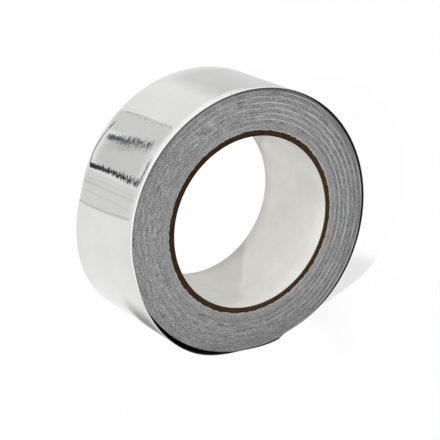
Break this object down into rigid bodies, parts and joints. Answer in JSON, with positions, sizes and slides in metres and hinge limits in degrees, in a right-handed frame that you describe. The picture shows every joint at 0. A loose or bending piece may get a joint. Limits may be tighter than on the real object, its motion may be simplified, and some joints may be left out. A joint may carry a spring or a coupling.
{
  "type": "roll of aluminium foil tape",
  "caption": "Roll of silver foil tape on a white-lined paperboard core; the end of the last turn is loose and bulges off the winding.",
  "frame": {"origin": "centre of the core's bore in the plane of the lower end, which the roll lies on", "axes": "+Z along the roll's axis, up; +X through the cut end of the tape; the turns run outwards anticlockwise seen from above"},
  "size_m": [0.1174, 0.1211, 0.048],
  "materials": {
    "foil_tape": "bright rolled foil, grey wound ends",
    "core_board": "cut paperboard edge",
    "core_paper": "matt white paper"
  },
  "bodies": {
    "root": {"tape_winding": "foil_tape", "core_tube": "core_board", "core_lining": "core_paper"}
  },
  "joints": []
}
